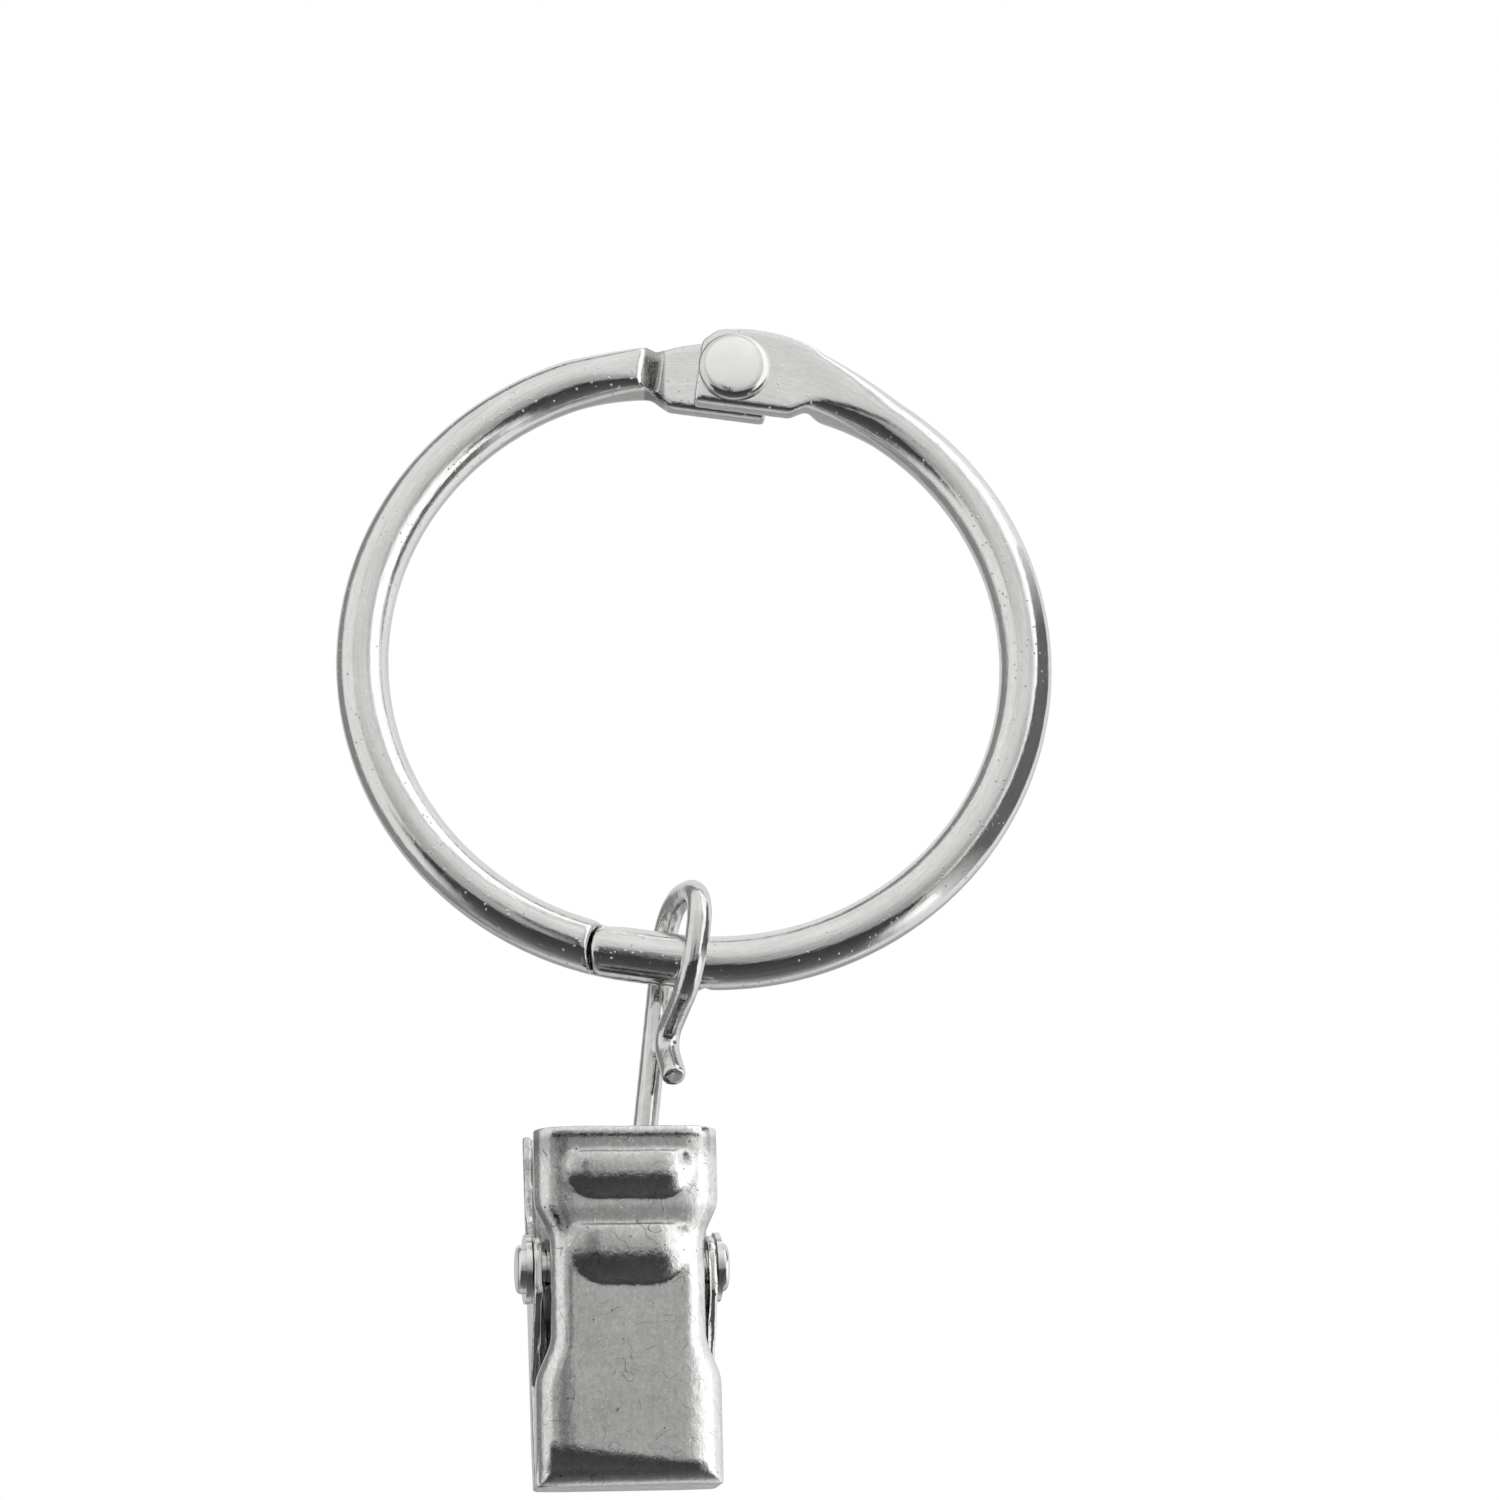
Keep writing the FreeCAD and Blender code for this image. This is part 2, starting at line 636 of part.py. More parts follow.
def jaw_block(name, side, inset, waisted, outline):
    """A solid of a jaw's outer or inner form: its side outline across its width, waisted, with round bends."""
    body = doc.addObject("PartDesign::Body", name)
    sketch = sketch_on(body, name + "_side", "YZ_Plane")
    draw_rounded(sketch, [(depth * side, high, bend) for depth, high, bend in outline])
    half = clip_width / 2 - inset
    waist = waist_half - inset
    feature(body, "Pad", name + "_across", sketch, half * 2, side="Symmetric")
    if waisted:
        notch = sketch_on(body, name + "_waist_plan", "XZ_Plane")
        for hand in (1, -1):
            draw_rounded(notch, [
                ((half + 1) * hand, waist_top, ZERO),
                (half * hand, waist_top, ZERO),
                (waist * hand, waist_top_end, plan_round + inset),
                (waist * hand, -waist_low_end, plan_round + inset),
                (half * hand, -skirt_start, ZERO),
                ((half + 1) * hand, -skirt_start, ZERO),
            ])
        feature(body, "Pocket", name + "_waist", notch, grip_half * 4, side="Symmetric")

    def outer_corner(edge):
        wide = near(abs(edge.Vertexes[0].X), half.value)
        high = edge.Vertexes[0].Z
        at_waist = near(high, waist_top.value) or near(high, -skirt_start.value)
        return runs_along(edge, Vector(0, 1, 0)) and wide and at_waist

    def on_outer_face(edge):
        top = max(high.value for depth, high, bend in outline)
        ends = edge.Vertexes
        on_face = all(near(abs(end.Y), face_at(as_size(end.Z)).value - inset.value) for end in ends)
        return on_face and not all(near(end.Z, top) for end in ends)

    if waisted:
        round_edges(body, name + "_waist_corners", plan_round - inset, outer_corner)
    round_edges(body, name + "_bends", bend_round - inset, on_outer_face)
    return body


def rib(name, side, crest, bend, rise, length, inset):
    """A raised rib on a jaw's face: part of a capsule, rounded below its crest and cut to a step above it."""
    face = face_at(crest)
    depth = jaw_sheet * 0.9 + inset * 0.6
    whole = doc.addObject("Part::MultiFuse", name + "_capsule")
    whole.Shapes = capsule(name, bend - inset, length, (face + rise - bend) * side, crest)
    wide = depth + rise * 2
    tall = bend * 2
    bounds = make("Part::Box", name + "_bounds", Length=clip_width, Width=wide, Height=tall)
    back = face - depth
    place(bounds, -clip_width / 2, back if side > 0 else -back - wide, crest + rib_step - inset - tall)
    kept = doc.addObject("Part::Common", name)
    kept.Base = whole
    kept.Tool = bounds
    return kept


def jaw(label, side, waisted, pin_room, top):
    """One pressed jaw: face, side flanges, ears, bite lip, two raised ribs and a rolled top edge."""
    outer = jaw_block(label + "_outer", side, ZERO, waisted, [
        (face_at(top), top, ZERO),
        (face_at(top) - flange_depth, top, ZERO),
        (face_at(flange_end) - flange_depth, flange_end, ZERO),
        (ear_root, ear_half, ZERO),
        (-ear_reach, ear_half, ear_round),
        (-ear_reach, -ear_half, ear_round),
        (skirt_back, -skirt_start, ZERO),
        (bite_gap / 2, bite_lip - bite_drop, ZERO),
        (bite_gap / 2, -bite_drop, ZERO),
        (bite_half, -bite_drop, ZERO),
    ])
    beyond = top + 1
    inner = jaw_block(label + "_inner", side, jaw_sheet, waisted, [
        (face_at(beyond) - jaw_sheet, beyond, ZERO),
        (-ear_reach - 1, beyond, ZERO),
        (-ear_reach - 1, jaw_sheet - bite_drop, ZERO),
        (face_at(jaw_sheet - bite_drop) - jaw_sheet, jaw_sheet - bite_drop, ZERO),
    ])
    outside = [outer]
    inside = [inner]
    ribs = (
        (label + "_upper_rib", rib_high, rib_round, rib_rise, rib_length),
        (label + "_lower_rib", rib_high - rib_pitch, low_rib_round, low_rib_rise, low_rib_length),
    )
    for name, crest, bend, rise, length in ribs:
        outside.append(rib(name, side, crest, bend, rise, length, ZERO))
        inside.append(rib(name + "_back", side, crest, bend, rise, length, jaw_sheet))
    inside.append(rod(label + "_pin_hole", pin_dia / 2 + pin_room, clip_width * 2, ZERO, ZERO))
    skin = doc.addObject("Part::MultiFuse", label + "_skin")
    skin.Shapes = outside
    hollow = doc.addObject("Part::MultiFuse", label + "_hollow")
    hollow.Shapes = inside
    sheet_form = doc.addObject("Part::Cut", label + "_sheet")
    sheet_form.Base = skin
    sheet_form.Tool = hollow
    high = top - hem_round
    hem_length = clip_width - bend_round * 2
    hem = capsule(label + "_hem", hem_round, hem_length, (face_at(high) - jaw_sheet / 2) * side, high)
    whole = doc.addObject("Part::MultiFuse", label)
    whole.Shapes = [sheet_form] + hem
    set_on_clip(whole)
    return whole


front_jaw = jaw("front_jaw", -1, True, pin_play, grip_top)
rear_jaw = jaw("rear_jaw", 1, False, pin_play / 2, grip_top + rear_rise)

# The pivot pin, its axis along X, headed at both ends outside the rear jaw's ears.
pin_half = clip_width / 2 + pin_seat
collar_end = pin_half + pin_collar_thick
pin_end = collar_end + pin_head_thick
pin = turned("pivot_pin", "XY_Plane", "H_Axis", [
    (-pin_end, ZERO),
    (-pin_end, pin_head / 2),
    (-collar_end, pin_head / 2),
    (-collar_end, pin_collar / 2),
    (-pin_half, pin_collar / 2),
    (-pin_half, pin_dia / 2),
    (pin_half, pin_dia / 2),
    (pin_half, pin_collar / 2),
    (collar_end, pin_collar / 2),
    (collar_end, pin_head / 2),
    (pin_end, pin_head / 2),
    (pin_end, ZERO),
])
round_edges(pin, "pivot_pin_rims", pin_head_round,
            lambda edge: len(edge.Vertexes) == 1 and near(abs(edge.Vertexes[0].X), pin_end.value))
set_on_clip(pin)

# The torsion spring: close turns round the pin, each end leaving straight up behind a grip.
helix = Part.makeHelix(spring_pitch.value, spring_run, coil)
to_pin = Placement(Vector(), Rotation(Vector(1, 0, 0), 180 - leg_angle)).multiply(
    Placement(Vector(), Rotation(Vector(1, 1, 1), 120)))
to_pin.Base = Vector(-spring_from.value, 0, 0)
helix.Placement = to_pin
bent = helix.Edges[0]
ends = []
for parameter, way in ((bent.FirstParameter, -1), (bent.LastParameter, 1)):
    foot = bent.valueAt(parameter)
    tangent = bent.tangentAt(parameter)
    ends.append((foot + tangent * ((leg_high - foot.z) / tangent.z), foot, tangent * way))
front_leg = Part.LineSegment(ends[0][0], ends[0][1]).toShape()
rear_leg = Part.LineSegment(ends[1][1], ends[1][0]).toShape()
section = Part.Wire(Part.Circle(ends[0][0], ends[0][2], thin).toShape())
spring = doc.addObject("Part::Feature", "torsion_spring")
spring.Shape = Part.Wire([front_leg, bent, rear_leg]).makePipeShell([section], True, False)
set_on_clip(spring)

nodes = [right, left, rivet, hook, front_jaw, rear_jaw, pin, spring]
for item in doc.Objects:
    if "Invalid" in item.State or "Error" in item.State:
        raise RuntimeError("%s failed: %s" % (item.Name, item.State))
for node in nodes:
    if node.Shape.isNull() or not node.Shape.isValid() or len(node.Shape.Solids) != 1:
        raise RuntimeError("%s is not one valid solid" % node.Label)
os.makedirs("parts", exist_ok=True)
for node in nodes:
    node.Shape.exportStep("parts/%s.step" % node.Label)
    print(node.Label, round(node.Shape.Volume, 3))
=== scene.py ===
import json
import math

import bpy
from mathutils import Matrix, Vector

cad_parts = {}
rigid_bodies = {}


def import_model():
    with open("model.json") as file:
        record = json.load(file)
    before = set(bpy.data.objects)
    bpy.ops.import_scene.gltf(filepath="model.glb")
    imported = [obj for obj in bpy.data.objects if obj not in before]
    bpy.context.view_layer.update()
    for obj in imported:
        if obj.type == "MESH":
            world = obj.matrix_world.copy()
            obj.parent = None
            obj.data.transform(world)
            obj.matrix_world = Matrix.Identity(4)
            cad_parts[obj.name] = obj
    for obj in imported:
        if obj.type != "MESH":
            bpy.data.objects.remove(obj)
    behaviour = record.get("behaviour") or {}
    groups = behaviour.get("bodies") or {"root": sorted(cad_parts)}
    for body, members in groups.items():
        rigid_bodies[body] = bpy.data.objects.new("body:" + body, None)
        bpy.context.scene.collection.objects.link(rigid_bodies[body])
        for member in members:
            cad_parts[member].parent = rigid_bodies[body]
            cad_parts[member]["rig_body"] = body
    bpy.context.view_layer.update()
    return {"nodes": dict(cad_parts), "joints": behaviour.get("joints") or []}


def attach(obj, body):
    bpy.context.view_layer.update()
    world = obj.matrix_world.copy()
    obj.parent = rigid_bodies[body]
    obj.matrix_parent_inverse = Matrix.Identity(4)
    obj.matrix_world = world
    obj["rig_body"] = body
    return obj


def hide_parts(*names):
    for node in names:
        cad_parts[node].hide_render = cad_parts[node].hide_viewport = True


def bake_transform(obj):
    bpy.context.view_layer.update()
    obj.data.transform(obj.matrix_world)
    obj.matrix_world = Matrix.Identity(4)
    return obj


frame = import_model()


# The ring: two like halves of drawn steel wire, bent to half a circle, pressed flat at the hinge and halved
# at the latch, then nickel plated. The plate shows the drawing lines of the wire and scattered pits.
nodes = frame["nodes"]
millimetre = 0.001
plate_warmth = 0.985


class Shade:
    """A shader socket; arithmetic on it adds Math nodes to its material."""

    def __init__(self, tree, socket=None):
        self.tree = tree
        self.socket = socket

    def node(self, kind, settings=None, inputs=None, output=0):
        """Adds a node, sets its settings, then its sockets, and wraps the named output."""
        added = self.tree.nodes.new(kind)
        for name, setting in (settings or {}).items():
            if name == "stops":
                row = added.color_ramp.elements
                while len(row) < len(setting):
                    row.new(0.5)
                for stop, (place, grey) in zip(row, setting):
                    stop.position = place
                    stop.color = (grey, grey, grey, 1)
            else:
                setattr(added, name, setting)
        for name, given in (inputs or {}).items():
            if isinstance(given, Shade):
                self.tree.links.new(given.socket, added.inputs[name])
            else:
                added.inputs[name].default_value = given
        return Shade(self.tree, added.outputs[output] if len(added.outputs) else None)

    def math(self, operation, first, second=0.0):
        return self.node("ShaderNodeMath", {"operation": operation}, {0: first, 1: second})

    def __add__(self, other):
        return self.math("ADD", self, other)

    def __radd__(self, other):
        return self.math("ADD", other, self)

    def __sub__(self, other):
        return self.math("SUBTRACT", self, other)

    def __rsub__(self, other):
        return self.math("SUBTRACT", other, self)

    def __mul__(self, other):
        return self.math("MULTIPLY", self, other)

    def __rmul__(self, other):
        return self.math("MULTIPLY", other, self)


def start_finish(name):
    """A new material without nodes, and a place on its piece in millimetres of the CAD frame."""
    finish = bpy.data.materials.new(name)
    finish.use_nodes = True
    finish.node_tree.nodes.clear()
    tree = Shade(finish.node_tree)
    place = tree.node("ShaderNodeTexCoord", output="Object")
    place = tree.node("ShaderNodeVectorMath", {"operation": "SCALE"}, {0: place, "Scale": 1.0 / millimetre})
    return finish, tree, place


def axis_of(tree, place, axis):
    return tree.node("ShaderNodeSeparateXYZ", {}, {0: place}, output=axis)


def length_of(tree, reach):
    return tree.node("ShaderNodeVectorMath", {"operation": "LENGTH"}, {0: reach}, output="Value")


def noise(tree, place, grains, detail=3.0, rough=0.55):
    """Even noise about one half, with so many grains to the millimetre along each axis."""
    moved = tree.node("ShaderNodeVectorMath", {"operation": "MULTIPLY"}, {0: place, 1: grains})
    return tree.node("ShaderNodeTexNoise", {}, {
        "Vector": moved,
        "Scale": 1.0,
        "Detail": detail,
        "Roughness": rough,
    })


def stray(value, spread):
    """A swing to both sides of nothing, from a noise about one half."""
    return (value - 0.5) * spread


def ramp(tree, value, stops):
    """A grey for each value from 0 to 1, in straight lines from stop to stop."""
    return tree.node("ShaderNodeValToRGB", {"stops": stops}, {"Fac": value})


def by_place(tree, place, stops):
    """A ramp whose stops are places in millimetres."""
    low = stops[0][0]
    reach = stops[-1][0] - low
    shares = [((stop - low) / reach, grey) for stop, grey in stops]
    return ramp(tree, (place - low) * (1.0 / reach), shares)


def pits(tree, place, density, width):
    """Small round marks, one in each cell of a cell pattern."""
    cells = tree.node("ShaderNodeTexVoronoi", {"feature": "F1"}, {"Vector": place, "Scale": density})
    return ramp(tree, cells, [(0.0, 1.0), (width, 1.0), (width * 2.2, 0.0)])


def plated(tree, tone, roughness, height):
    """Metal with a varying tone and roughness, and a relief in millimetres."""
    colour = tree.node("ShaderNodeCombineColor", {}, {
        "Red": tone,
        "Green": tone,
        "Blue": tone * plate_warmth,
    })
    relief = tree.node("ShaderNodeBump", {}, {"Strength": 1.0, "Distance": millimetre, "Height": height})
    metal = tree.node("ShaderNodeBsdfPrincipled", {}, {
        "Base Color": colour,
        "Metallic": 1.0,
        "Roughness": roughness,
        "Normal": relief,
    })
    tree.node("ShaderNodeOutputMaterial", {}, {"Surface": metal})


def dress(mesh, finish):
    """Gives a mesh one finish."""
    mesh.materials.clear()
    mesh.materials.append(finish)


def copy_of(node, name, finish):
    """A copy of a node under a name and in a finish of its own."""
    mesh = nodes[node].data.copy()
    dress(mesh, finish)
    piece = bpy.data.objects.new(name, mesh)
    bpy.context.scene.collection.objects.link(piece)
    return piece


def plate_over(node, finish, grain, passes):
    """A copy that stands for a node: an even skin on the same form, with every edge softened by plate."""
    piece = copy_of(node, "plated_" + node, finish)
    skin = piece.modifiers.new("even_skin", "REMESH")
    skin.mode = "VOXEL"
    skin.voxel_size = grain
    skin.use_smooth_shade = True
    soft = piece.modifiers.new("soft_edges", "SMOOTH")
    soft.factor = 0.5
    soft.iterations = passes
    plated_piece = piece.evaluated_get(bpy.context.evaluated_depsgraph_get())
    piece.data = bpy.data.meshes.new_from_object(plated_piece)
    piece.modifiers.clear()
    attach(piece, nodes[node]["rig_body"])
    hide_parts(node)
    return piece


ring_tone = 0.79
ring_roughness = 0.11
ring_grain = 0.12 * millimetre
ring_passes = 36
round_per_radian = 18.0

ring_finish, tree, place = start_finish("drawn_ring_plate")
side = axis_of(tree, place, "X")
depth = axis_of(tree, place, "Y")
height = axis_of(tree, place, "Z")
turn = tree.math("ARCTAN2", side, height)
drawn = tree.node("ShaderNodeCombineXYZ", {}, {
    "X": turn * round_per_radian,
    "Y": depth,
    "Z": length_of(tree, place),
})
lines = noise(tree, drawn, (0.12, 7.0, 7.0), 4.0)
cloud = noise(tree, drawn, (0.35, 0.9, 0.9), 4.0)
grain = noise(tree, drawn, (2.0, 6.0, 6.0), 4.0)
pitted = pits(tree, place, 2.4, 0.08) * ramp(tree, cloud, [(0.46, 0.0), (0.54, 1.0)])
# Painted shade: the wire's shoulder beside the hinge tab is darkened in its colour, by up to a half.
shoulder_shade_beside_tab = by_place(tree, side, [(-3.08, 0.0), (-2.92, 1.0), (-1.88, 1.0), (-1.72, 0.0)])
shoulder_shade_near_hinge = by_place(tree, height, [(13.6, 0.0), (14.4, 0.5)])
ring_shade = ring_tone + stray(lines, 0.16) + stray(cloud, 0.2) + stray(grain, 0.2) - pitted * 0.05
plated(
    tree,
    ring_shade * (1.0 - shoulder_shade_beside_tab * shoulder_shade_near_hinge),
    ring_roughness + stray(cloud, 0.16) + stray(grain, 0.12),
    lines * 0.007 + grain * 0.006 + cloud * 0.02 + pitted * 0.03,
)
plate_over("ring_half_right", ring_finish, ring_grain, ring_passes)
plate_over("ring_half_left", ring_finish, ring_grain, ring_passes)

# The hinge rivet: a turned steel rivet, set through both flat tabs, its broad head in front and its tail
# peened over behind. The head is bright and slightly crowned, with faint upright marks and a rim darkened by
# painted shade.
joints = {joint["name"]: joint for joint in frame["joints"]}
rivet_middle = Vector(joints["ring_hinge"]["pos_m"])
rivet_face = min(vertex.co.y for vertex in nodes["hinge_rivet"].data.vertices)
head_thick = 0.7 * millimetre
head_crown = 0.045 / millimetre
rivet_tone = 0.95
rivet_roughness = 0.12
rivet_grain = 0.08 * millimetre
rivet_passes = 8


def share(value):
    """A value kept from 0 to 1."""
    return min(max(value, 0.0), 1.0)


def away_from(tree, place, middle):
    return tree.node("ShaderNodeVectorMath", {"operation": "SUBTRACT"}, {0: place, 1: middle})


rivet_finish, tree, place = start_finish("turned_rivet_plate")
cloud = noise(tree, place, (0.7, 0.7, 0.7), 4.0)
marks = noise(tree, place, (5.0, 1.0, 0.8), 3.0)
on_head = away_from(tree, place, rivet_middle / millimetre)
on_head = tree.node("ShaderNodeVectorMath", {"operation": "MULTIPLY"}, {0: on_head, 1: (1.0, 0.0, 1.0)})
# Painted shade: the head's rim is darkened in its colour, to about three quarters at its edge.
rim_painted_shade = by_place(tree, length_of(tree, on_head), [(1.675, 1.0), (1.825, 0.76)])
plated(
    tree,
    (rivet_tone + stray(cloud, 0.16)) * rim_painted_shade,
    rivet_roughness + stray(marks, 0.1),
    marks * 0.006 + cloud * 0.02,
)
rivet = plate_over("hinge_rivet", rivet_finish, rivet_grain, rivet_passes)
for vertex in rivet.data.vertices:
    reach = vertex.co - rivet_middle
    in_head = share(1.0 - (vertex.co.y - rivet_face) / head_thick)
    vertex.co.y += head_crown * (reach.x ** 2 + reach.z ** 2) * in_head

# The hook: one length of bright steel wire, bent round the ring and round the clip's pin, its cut tip turned
# out. The plate is cloudy, with fine lines along the wire.
hook_tone = 0.74
hook_roughness = 0.11
hook_grain = 0.1 * millimetre
hook_passes = 40

hook_finish, tree, place = start_finish("bent_hook_plate")
lines = noise(tree, place, (4.5, 4.5, 0.25), 4.0)
cloud = noise(tree, place, (1.3, 1.3, 1.3), 4.0)
plated(
    tree,
    hook_tone + stray(lines, 0.4) + stray(cloud, 0.16),
    hook_roughness + stray(cloud, 0.12),
    lines * 0.012 + cloud * 0.015,
)
plate_over("hook", hook_finish, hook_grain, hook_passes)

# The jaws: two pressings of thin steel sheet with side flanges, ears on a common pin, and two raised ribs
# for the fingers. Pressing leaves their faces crowned at the sides and the foot, and the plate there is worn,
# with upright rubbing lines, cloudy patches, pits and a few hair scratches. Painted shade darkens two bands
# by the ribs, and painted light makes the face lighter towards one side.
pin_middle = Vector(joints["clip_tilt"]["pos_m"]) / millimetre
clip_across = Vector(joints["clip_tilt"]["axis"])
clip_up = (Vector((0.0, 0.0, 1.0)) - clip_across * clip_across.z).normalized()
clip_back = clip_up.cross(clip_across)
# In millimetres from the pin's middle: where the face lies, how much of it stays flat, and how it bends.
face_at_pin = 3.66
face_lean = 0.097
flat_half = 2.7
side_crown = 0.088
foot_start = -10.1
foot_end = -11.15
foot_slant = 0.14
foot_crown = 0.14
crown_depth = 1.6
crown_fade = 1.05
jaw_tone = 0.80
jaw_roughness = 0.09
jaw_grain = 0.11 * millimetre
jaw_passes = 10


def along(tree, reach, direction):
    """How far a reach goes in a direction."""
    return tree.node(
        "ShaderNodeVectorMath",
        {"operation": "DOT_PRODUCT"},
        {0: reach, 1: direction},
        output="Value",
    )


def hairs(tree, place, spread, width):
    """Thin bent scratches: the level lines of a smooth noise, broken up by a coarser one."""
    level = noise(tree, place, (spread, spread, spread), 1.0)
    line = ramp(tree, level, [(0.5 - width, 0.0), (0.5, 1.0), (0.5 + width, 0.0)])
    return line * ramp(tree, noise(tree, place, (0.9, 0.9, 0.9)), [(0.48, 0.0), (0.54, 1.0)])


def crown_face(jaw, outward):
    """Bends the flat face of a jaw back towards its sides and its foot, with sizes in millimetres."""
    for vertex in jaw.data.vertices:
        reach = vertex.co / millimetre - pin_middle
        across = reach.dot(clip_across)
        up = reach.dot(clip_up)
        past_flat = max(abs(across) - flat_half, 0.0)
        past_foot = max(foot_start - foot_slant * across - max(up, foot_end), 0.0)
        behind_face = face_at_pin + face_lean * up - reach.dot(outward)
        in_face = share((crown_depth - behind_face) / crown_fade)
        sink = (side_crown * past_flat ** 2 + foot_crown * past_foot ** 2) * in_face
        vertex.co -= outward * sink * millimetre


jaw_finish, tree, place = start_finish("worn_jaw_plate")
on_clip = away_from(tree, place, pin_middle)
across = along(tree, on_clip, clip_across)
up = along(tree, on_clip, clip_up)
rubbed = noise(tree, place, (5.0, 5.0, 0.6), 5.0)
cloud = noise(tree, place, (0.4, 0.4, 0.4), 5.0, 0.6)
mottle = noise(tree, place, (4.2, 4.2, 3.0), 6.0, 0.72)
# Painted shade: two bands across the face, at set heights above the pin, are darkened in their colour with
# the mottle.
painted_shade_by_ribs = by_place(tree, up, [
    (1.2, 0.0), (1.8, 0.5), (2.6, 0.5), (3.0, 0.0),
    (5.2, 0.0), (5.8, 0.4), (6.5, 0.55), (6.8, 0.0),
])
scratched = pits(tree, place, 1.1, 0.04) + hairs(tree, place, 0.6, 0.006)
fleck = ramp(tree, noise(tree, place, (8.0, 8.0, 5.0), 2.0), [(0.64, 0.0), (0.7, 1.0)])
# Painted light: the term across * 0.012 makes the face lighter across its width, towards one flange.
jaw_shade = jaw_tone + stray(rubbed, 0.2) + stray(cloud, 0.4) + stray(mottle, 0.6) + across * 0.012
jaw_shade = jaw_shade - painted_shade_by_ribs * (mottle + cloud) * 0.5
plated(
    tree,
    jaw_shade - scratched * 0.55 + fleck * 0.3,
    jaw_roughness + stray(mottle, 0.14),
    rubbed * 0.006 + mottle * 0.012 + cloud * 0.06,
)
crown_face(plate_over("front_jaw", jaw_finish, jaw_grain, jaw_passes), -clip_back)
crown_face(plate_over("rear_jaw", jaw_finish, jaw_grain, jaw_passes), clip_back)

# The pin: a short steel rod through the ears of both jaws and the hook's loop, headed at both ends so that
# it stays in. It is plated like the jaws, but duller.
pin_tone = 0.8
pin_roughness = 0.2

pin_finish, tree, place = start_finish("headed_pin_plate")
cloud = noise(tree, place, (1.6, 1.6, 1.6), 4.0)
plated(tree, pin_tone + stray(cloud, 0.16), pin_roughness + stray(cloud, 0.14), cloud * 0.02)
dress(nodes["pivot_pin"].data, pin_finish)

# The spring: bare steel wire wound round the pin between the jaws, with a leg against each of them, so that
# it holds the clip shut.
spring_tone = 0.5
spring_roughness = 0.3

spring_finish, tree, place = start_finish("spring_wire_steel")
cloud = noise(tree, place, (2.2, 2.2, 2.2), 4.0)
plated(tree, spring_tone + stray(cloud, 0.2), spring_roughness + stray(cloud, 0.2), cloud * 0.02)
spring = copy_of("torsion_spring", "flexing_spring", spring_finish)
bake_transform(spring)
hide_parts("torsion_spring")

# The studio: a pale floor well below the hanging ring, a white surround and soft lamps. A grey sheet all
# round and a dark card beside the ring are seen by reflections alone, as bright metal needs something to
# mirror.
floor_half = 40.0
floor_level = -0.7


def stand_up(name, corners, faces, finish):
    """A piece of the studio, made of flat faces."""
    mesh = bpy.data.meshes.new(name)
    mesh.from_pydata(corners, [], faces)
    mesh.materials.append(finish)
    piece = bpy.data.objects.new(name, mesh)
    bpy.context.scene.collection.objects.link(piece)
    return piece


floor_finish = bpy.data.materials.new("pale_floor")
floor_finish.use_nodes = True
floor_shader = floor_finish.node_tree.nodes["Principled BSDF"]
floor_shader.inputs["Base Color"].default_value = (0.9, 0.9, 0.9, 1)
floor_shader.inputs["Roughness"].default_value = 0.8
floor_corners = [
    (-floor_half, -floor_half, floor_level),
    (floor_half, -floor_half, floor_level),
    (floor_half, floor_half, floor_level),
    (-floor_half, floor_half, floor_level),
]
floor = stand_up("floor", floor_corners, [(0, 1, 2, 3)], floor_finish)

# Tones of the sheet, in degrees round from the front to the right, and up from level.
sheet_far = 0.55
turn_step = 2
rise_step = 3
front_tones = [(-14, 0.40), (-2, 0.46), (8, 0.58), (16, 0.72), (24, 0.77), (40, 0.88), (90, 0.9)]
side_tones = [
    (-180, 0.72), (-142, 0.7), (-134, 0.26), (-98, 0.28), (-92, 0.85), (-40, 0.86), (-28, 0.0),
    (18, 0.0), (40, 1.3), (75, 1.3), (95, 0.95), (130, 0.85), (150, 0.72), (180, 0.72),
]
back_tones = [(-45, 0.65), (-32, 0.35), (-12, 0.4), (0, 0.55), (15, 0.7), (40, 0.85), (90, 0.9)]
under_tones = [(-122, 0.7), (-110, 0.35), (-90, 0.15), (-60, 0.08), (-15, 0.04)]
to_sides = [(-46, 1.0), (-30, 0.0), (16, 0.0), (36, 1.0)]
to_back = [(-150, 1.0), (-136, 0.0), (136, 0.0), (150, 1.0)]
to_under = [(-122, 0.0), (-112, 1.0), (-20, 1.0), (-15, 0.0)]
under_width = [(-60, 0.0), (-46, 1.0), (36, 1.0), (46, 0.0)]
slot_width = [(-11, 0.0), (-8, 0.9), (-3, 0.9), (0, 0.0)]
slot_height = [(-22, 0.0), (-18, 1.0), (5, 1.0), (9, 0.0)]


def between(table, place):
    """The tone at a place of a table, in a straight line from one row to the next."""
    for (low, first), (high, last) in zip(table, table[1:]):
        if place <= high:
            return first + (last - first) * max(0.0, place - low) / (high - low)
    return table[-1][1]


def toward(turn, rise):
    """The direction at a turn from the front and a rise from level."""
    level = math.cos(math.radians(rise))
    return Vector((
        level * math.sin(math.radians(turn)),
        -level * math.cos(math.radians(turn)),
        math.sin(math.radians(rise)),
    ))


def sheet_tone(turn, rise):
    """Front, sides and back run into each other, with a narrow slot in front and a dark ground below."""
    tone = between(front_tones, rise)
    tone += (between(side_tones, turn) - tone) * between(to_sides, turn)
    tone += (between(back_tones, rise) - tone) * between(to_back, turn)
    tone *= 1.0 - between(slot_width, turn) * between(slot_height, rise)
    direction = toward(turn, rise)
    tilt = math.degrees(math.atan2(direction.z, -direction.y))
    aside = math.degrees(math.asin(direction.x))
    under = between(to_under, tilt) * between(under_width, aside)
    return tone + (between(under_tones, tilt) - tone) * under


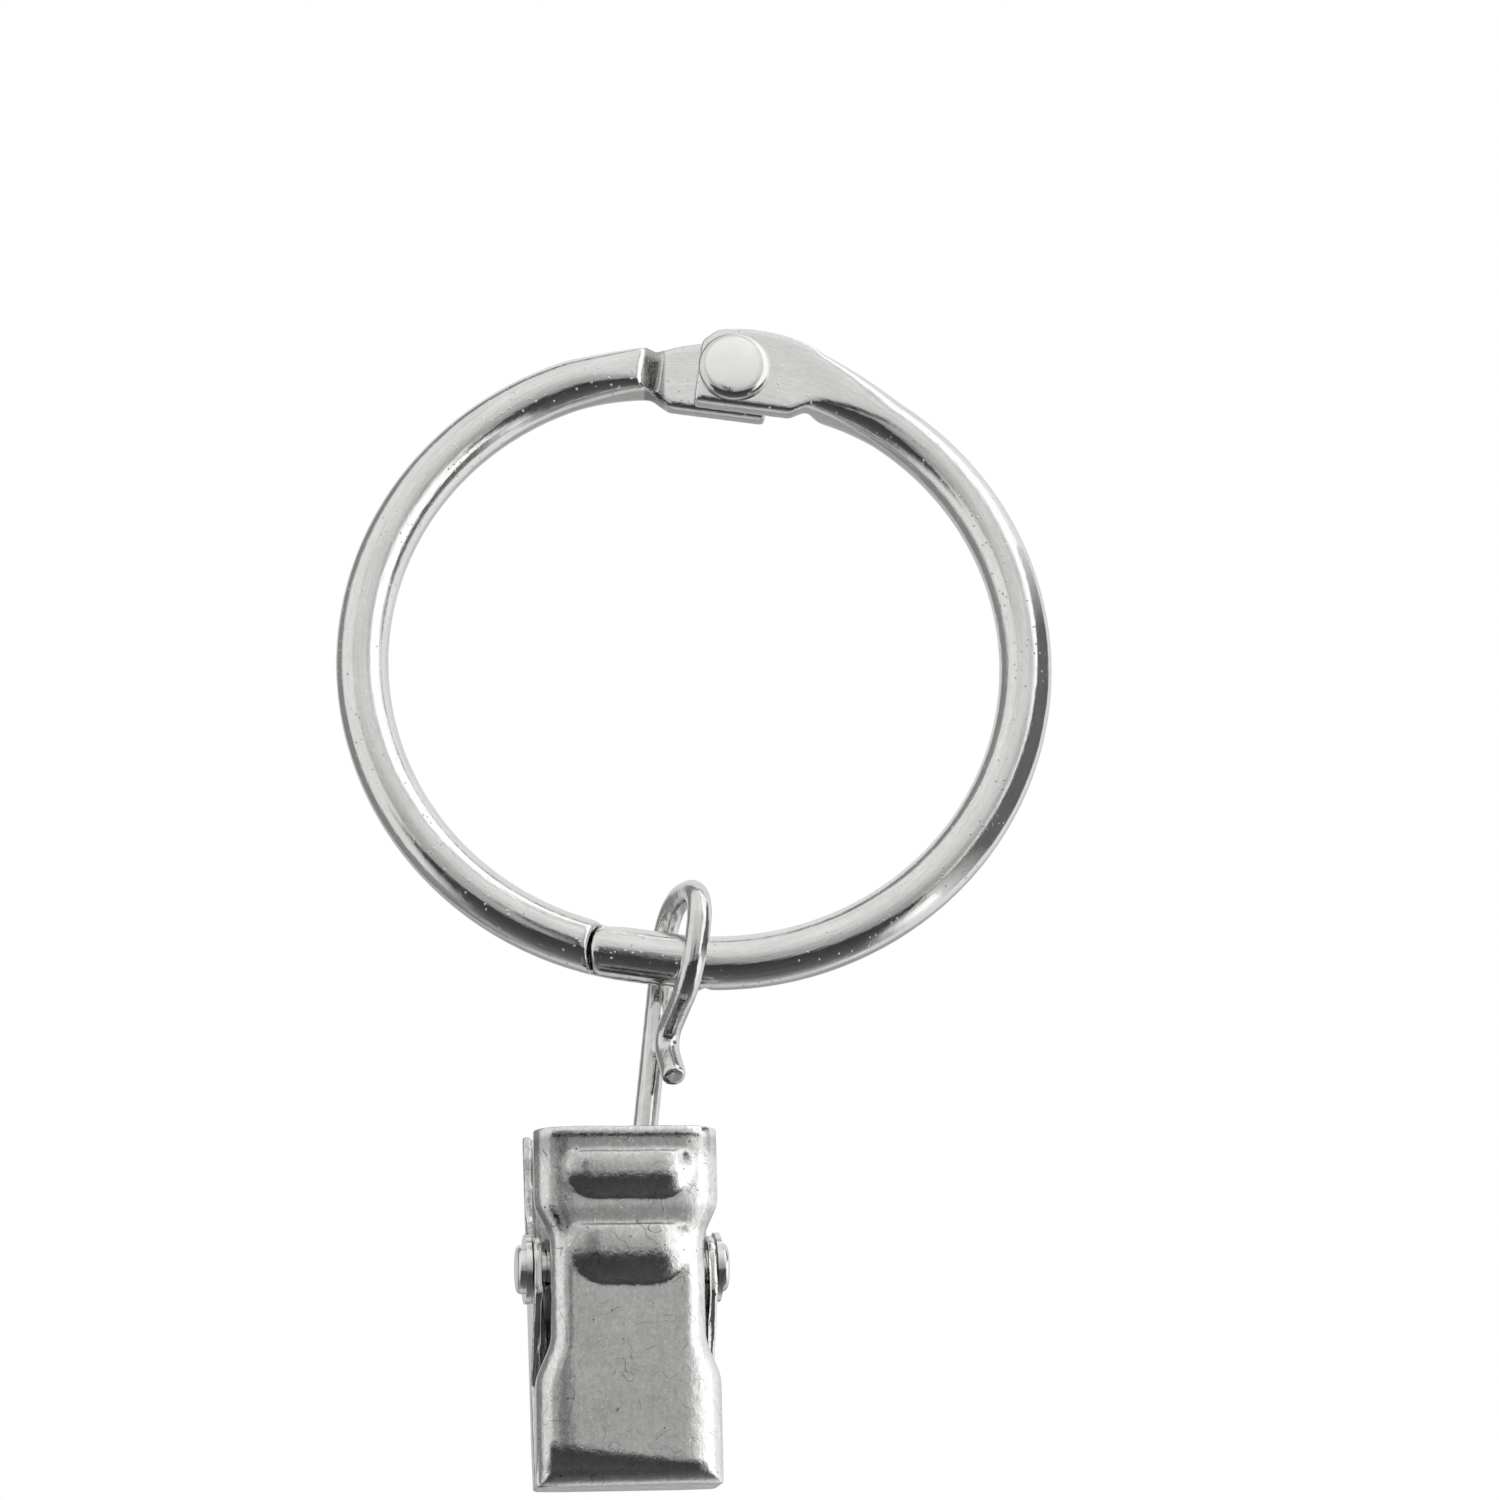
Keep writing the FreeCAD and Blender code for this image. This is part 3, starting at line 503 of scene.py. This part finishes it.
def reflect_only(piece, tones):
    """Leaves a piece to reflections, with a tone at each of its corners."""
    greys = piece.data.attributes.new("tone", "FLOAT", "POINT")
    greys.data.foreach_set("value", tones)
    piece.visible_camera = False
    piece.visible_diffuse = False
    piece.visible_shadow = False


glow_finish = bpy.data.materials.new("reflected_sheet")
glow_finish.use_nodes = True
glow_finish.node_tree.nodes.clear()
tree = Shade(glow_finish.node_tree)
tone = tree.node("ShaderNodeAttribute", {"attribute_name": "tone"}, output="Fac")
glow = tree.node("ShaderNodeEmission", {}, {"Color": tone, "Strength": 1.0})
tree.node("ShaderNodeOutputMaterial", {}, {"Surface": glow})

sheet_turns = range(-180, 180 + turn_step, turn_step)
sheet_rises = range(-90, 90 + rise_step, rise_step)
sheet_corners = [toward(turn, rise) * sheet_far for rise in sheet_rises for turn in sheet_turns]
sheet_greys = [sheet_tone(turn, rise) for rise in sheet_rises for turn in sheet_turns]
wide = len(sheet_turns)
sheet_faces = []
for row in range(len(sheet_rises) - 1):
    for column in range(wide - 1):
        first = row * wide + column
        sheet_faces.append((first, first + 1, first + wide + 1, first + wide))
sheet = stand_up("reflected_sheet", sheet_corners, sheet_faces, glow_finish)
reflect_only(sheet, sheet_greys)

# The card stands upright: each row is a height, the place of the front edge and a tone.
card_side = 0.032
card_back = 0.005
card_rows = [(0.017, -0.007, 0.8), (0.007, -0.012, 0.14), (-0.017, -0.026, 0.14), (-0.027, -0.028, 0.8)]
card_corners = []
card_greys = []
for height, front, grey in card_rows:
    card_corners += [(card_side, front, height), (card_side, card_back, height)]
    card_greys += [grey, grey]
card_faces = [(first, first + 1, first + 3, first + 2) for first in (0, 2, 4)]
card = stand_up("dark_card", card_corners, card_faces, glow_finish)
reflect_only(card, card_greys)

surround_light = 0.9
surround_white = 1.0
world = bpy.data.worlds.new("white_surround")
bpy.context.scene.world = world
world.use_nodes = True
world.node_tree.nodes.clear()
tree = Shade(world.node_tree)
seen = tree.node("ShaderNodeLightPath", output="Is Camera Ray")
mirrored = tree.node("ShaderNodeLightPath", output="Is Glossy Ray")
through = tree.node("ShaderNodeLightPath", output="Is Transmission Ray")
shown = tree.math("MAXIMUM", tree.math("MAXIMUM", seen, mirrored), through)
surround = tree.node("ShaderNodeBackground", {}, {
    "Color": (1, 1, 1, 1),
    "Strength": surround_light + shown * (surround_white - surround_light),
})
tree.node("ShaderNodeOutputWorld", {}, {"Surface": surround})

lamp_aim = Vector((0, 0, -0.015))


def soft_lamp(name, place, size, watts):
    """A square lamp that faces the middle of the object."""
    lamp = bpy.data.lights.new(name, "AREA")
    lamp.shape = "SQUARE"
    lamp.size = size
    lamp.energy = watts
    stand = bpy.data.objects.new(name, lamp)
    stand.location = place
    stand.rotation_euler = (lamp_aim - Vector(place)).to_track_quat("-Z", "Y").to_euler()
    bpy.context.scene.collection.objects.link(stand)


soft_lamp("key_lamp", (0.35, -0.45, 0.5), 0.4, 1.0)
soft_lamp("fill_lamp", (-0.5, -0.2, 0.35), 0.5, 0.8)

eye = Vector((-0.0023, -0.1943, -0.0679))
camera = bpy.data.cameras.new("photo_camera")
camera.sensor_width = 36.0
camera.lens = 84.25
camera.shift_x = 0.0369
camera.shift_y = -0.0614
camera.clip_start = 0.01
stand = bpy.data.objects.new("photo_camera", camera)
stand.location = eye
stand.rotation_euler = (-eye).to_track_quat("-Z", "Y").to_euler()
bpy.context.scene.collection.objects.link(stand)
bpy.context.scene.camera = stand
bpy.context.scene.view_settings.view_transform = "Standard"
